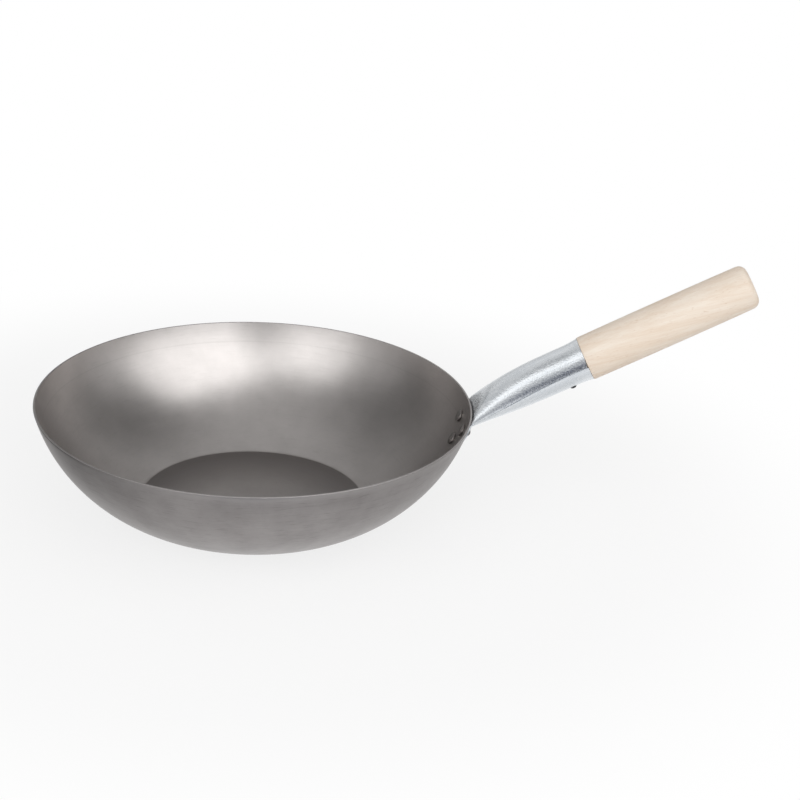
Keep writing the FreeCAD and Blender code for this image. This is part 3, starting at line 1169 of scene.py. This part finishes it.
@dataclass(frozen=True)
class Softbox:
    """A large soft lamp beside the camera, by the directions in which the wok sees it.

    The lamp lights, and a card at its front stands for it in reflections, with the softer edges of real
    cloth. The top of the card leans in from one side, and its foot is dimmer. Without light there is no
    lamp, and the card is a painted reflection that glows but lights nothing. Bright zinc clips where dull
    steel doesn't, so each has cards that only the named pieces mirror.
    """

    name: str
    azimuths: tuple[float, float]
    elevations: tuple[float, float]
    light: float
    front: float
    soft_share: float = 0.3
    lean: float = 0.0
    grade: float = 0.3
    seen_by: tuple[str, ...] = ()
    distance: float = 1.7

    def lamp(self, where: Vector, turn: Euler, width: float, height: float) -> None:
        """Adds the lamp, which lights but isn't mirrored.

        Args:
            where: its place.
            turn: its turn.
            width: its width.
            height: its height.
        """
        data = bpy.data.lights.new(self.name, "AREA")
        data.shape = "RECTANGLE"
        data.size = width
        data.size_y = height
        data.energy = self.light * math.pi * width * height
        lamp = bpy.data.objects.new(self.name, data)
        bpy.context.collection.objects.link(lamp)
        lamp.location = where
        lamp.rotation_euler = turn
        lamp.visible_glossy = False

    def build(self, target: Vector) -> None:
        """Adds lamp and front, turned to the target.

        Args:
            target: the point that they face.
        """
        (left, right), (low, high) = self.azimuths, self.elevations
        width, height = (2 * self.distance * math.tan(math.radians(b - a) / 2)
                         for a, b in (self.azimuths, self.elevations))
        az, el = math.radians(left + right) / 2, math.radians(low + high) / 2
        away = Vector((math.sin(az) * math.cos(el), -math.cos(az) * math.cos(el), math.sin(el)))
        turn = away.to_track_quat("Z", "Y").to_euler()
        where = target + away * self.distance
        if self.light:
            self.lamp(where, turn, width, height)
        bpy.ops.mesh.primitive_plane_add(size=1.0, location=where, rotation=turn)
        card = bpy.context.object
        card.name = self.name + "_front"
        card.scale = (width, height, 1)
        card.data.materials.append(self.cloth())
        card.visible_camera = card.visible_diffuse = card.visible_shadow = False
        seen = bpy.data.collections.new(self.name + "_seen_by")
        for piece in self.seen_by:
            seen.objects.link(bpy.data.objects[piece])
        card.light_linking.receiver_collection = seen

    def cloth(self) -> bpy.types.Material:
        """Makes the front's cloth.

        Returns:
            A glow that fades towards the edges.
        """
        material = bpy.data.materials.new(self.name + "_cloth")
        graph = Graph.of(material)
        x, y, _ = graph.axes(graph.place())
        # The card is a plane of side one, so its edges lie half of one from its middle
        edge = 0.5
        up = graph.math("POWER", graph.math("ADD", y, edge), 2.0)
        drawn = graph.math("MULTIPLY_ADD", x, 2 * abs(self.lean), self.lean)
        across = graph.math("MULTIPLY_ADD", drawn, up, x)
        span = (edge, edge - self.soft_share / 2)
        fades = [graph.ramp(graph.math("ABSOLUTE", side), span, kind="SMOOTHSTEP") for side in (across, y)]
        bright = graph.math("MULTIPLY_ADD", y, self.front * self.grade, self.front)
        glow = graph.glow(graph.math("MULTIPLY", graph.math("MULTIPLY", *fades), bright))
        clear = graph.add("BsdfTransparent").outputs[0]
        sheer = graph.add("AddShader", inputs={0: glow, 1: clear}).outputs[0]
        graph.output(sheer)
        return material


@dataclass(frozen=True)
class Glow:
    """A soft brighter or darker side of the room: how it lies, how narrow it is and how strong."""

    towards: tuple[float, float, float]
    power: float
    strength: float
    tint: tuple[float, float, float] = (1.0, 1.0, 1.0)


@dataclass
class Studio:
    """Pale floor, two softboxes, cards for the zinc, a soft room and the camera at the photo's angle."""

    elevation: float = math.radians(23.36)
    azimuth: float = math.radians(-4.3)
    roll: float = math.radians(2.98)
    focal_pixels: float = 2049.0
    sensor: float = 36.0
    position: Vector = field(default_factory=lambda: Vector((3.384, -1535.189, 758.962)) * MM)
    target: Vector = field(default_factory=lambda: Vector((0.05, 0.0, 0.08)))
    boxes: tuple[Softbox, ...] = (
        Softbox("softbox_left", (-65, -15), (2, 51), 1.4, 1.74, lean=-0.12, seen_by=DULL),
        Softbox("softbox_right", (4, 82), (3, 66), 0.87, 2.0, lean=0.155, seen_by=DULL),
        # Cards without light: painted reflections that only the zinc shows
        Softbox("card_left", (-64, -2), (8, 64), 0.0, 1.1, soft_share=0.8, seen_by=ZINC),
        Softbox("card_right", (12, 77), (4, 66), 0.0, 0.6, soft_share=0.6, seen_by=ZINC),
        Softbox("card_above", (-170, -65), (22, 72), 0.0, 0.4, soft_share=0.5, seen_by=ZINC),
        Softbox("card_below", (-15, 55), (-62, -14), 0.0, 0.4, soft_share=0.8, seen_by=ZINC),
    )
    floor_size: float = 24.0
    backdrop_height: float = 4.0
    floor_colour: str = "F2F2F2"
    white_from: float = 0.30
    white_to: float = 0.55
    white_near: float = 0.8
    room_level: float = 0.22
    darkest: tuple[float, float, float] = (0.02, 0.023, 0.03)
    glows: tuple[Glow, ...] = (
        Glow((0.0, 0.0, 1.0), 5.0, 0.42),
        Glow((-1.0, 0.0, 0.0), 2.0, -0.16),
        Glow((1.0, 0.0, 0.0), 2.0, -0.26),
        Glow((0.0, -0.95, 0.31), 4.0, 0.5),
        Glow((0.0, 0.9, 0.42), 3.0, 0.32),
        Glow((-0.35, 0.75, -0.56), 3.0, 0.6),
        Glow((0.7, 0.7, 0.15), 8.0, 0.15),
        Glow((0.97, -0.05, 0.24), 20.0, 0.8),
        Glow((-0.93, -0.29, 0.22), 20.0, 0.65),
        Glow((0.49, 0.09, 0.87), 10.0, -0.14),
        Glow((0.0, 0.0, -1.0), 0.5, 0.7),
        Glow((-0.7, 0.4, -0.59), 6.0, -0.8),
        Glow((-0.085, -0.966, -0.23), 40.0, -1.2, (1.04, 1.0, 0.88)),
        Glow((0.06, -0.87, -0.5), 40.0, -1.2, (1.04, 1.0, 0.88)),
    )

    def camera(self) -> None:
        """Adds the camera."""
        data = bpy.data.cameras.new("photo_camera")
        data.sensor_width = self.sensor
        data.lens = self.focal_pixels / IMAGE_SIZE * self.sensor
        camera = bpy.data.objects.new("photo_camera", data)
        bpy.context.collection.objects.link(camera)
        turn = Matrix.Rotation(self.azimuth, 4, "Z") @ Matrix.Rotation(math.pi / 2 - self.elevation, 4, "X")
        camera.matrix_world = Matrix.Translation(self.position) @ turn @ Matrix.Rotation(self.roll, 4, "Z")
        bpy.context.scene.camera = camera

    def floor(self) -> None:
        """Adds the floor: pale and shaded near the wok, white further away, turned up at its far edges.

        The wok of the photo hangs in the air, so the floor isn't in its reflections.
        """
        bpy.ops.mesh.primitive_plane_add(size=self.floor_size)
        plane = take_up("studio_floor")
        bpy.ops.mesh.select_mode(type="EDGE")
        bpy.ops.mesh.select_all(action="SELECT")
        bpy.ops.mesh.extrude_edges_move(TRANSFORM_OT_translate={"value": (0, 0, self.backdrop_height)})
        bpy.ops.object.mode_set(mode="OBJECT")
        material = bpy.data.materials.new("studio_floor_pale_card")
        graph = Graph.of(material)
        far = graph.vector("LENGTH", graph.place())
        near = graph.ramp(far, (self.white_from, self.white_to), (self.white_near, 1.0), "SMOOTHSTEP")
        white = graph.math("MULTIPLY", graph.add("LightPath").outputs["Is Camera Ray"], near)
        card = graph.add("BsdfDiffuse", inputs={"Color": to_linear(self.floor_colour)}).outputs[0]
        mixed = graph.add("MixShader", inputs={0: white, 1: card, 2: graph.glow(1.0)}).outputs[0]
        graph.output(mixed)
        plane.data.materials.append(material)
        plane.visible_glossy = False

    def room(self) -> None:
        """Sets the world: a room with soft brighter and darker sides, as the wok sees them in the air."""
        world = bpy.data.worlds.new("studio_room")
        graph = Graph.of(world)
        towards = graph.add("TexCoord").outputs["Generated"]
        level: Value = (self.room_level,) * 3
        for glow in self.glows:
            side = graph.vector("DOT_PRODUCT", towards, Vector(glow.towards).normalized())
            lobe = graph.math("POWER", graph.math("MAXIMUM", side, 0.0), glow.power)
            level = graph.vector("MULTIPLY_ADD", lobe, Vector(glow.tint) * glow.strength, level)
        lit = graph.vector("MAXIMUM", level, self.darkest)
        back = graph.add("Background", inputs={"Color": lit, "Strength": 1.0}).outputs[0]
        graph.add("OutputWorld", inputs={"Surface": back})
        bpy.context.scene.world = world

    def build(self) -> None:
        """Sets up camera, floor, room and lamps."""
        self.camera()
        self.floor()
        self.room()
        for box in self.boxes:
            box.build(self.target)
        bpy.context.scene.view_settings.view_transform = "Standard"


def main() -> None:
    """Builds the pieces in order and then the studio round them."""
    bowl = Bowl()
    handle = Handle()
    socket = HandleSocket(bowl, handle)
    for part in (bowl, socket, Rivets(bowl, socket), WoodenGrip(handle, socket), GripScrew(handle, socket)):
        part.build()
    Studio().build()


if __name__ == "__main__":
    main()
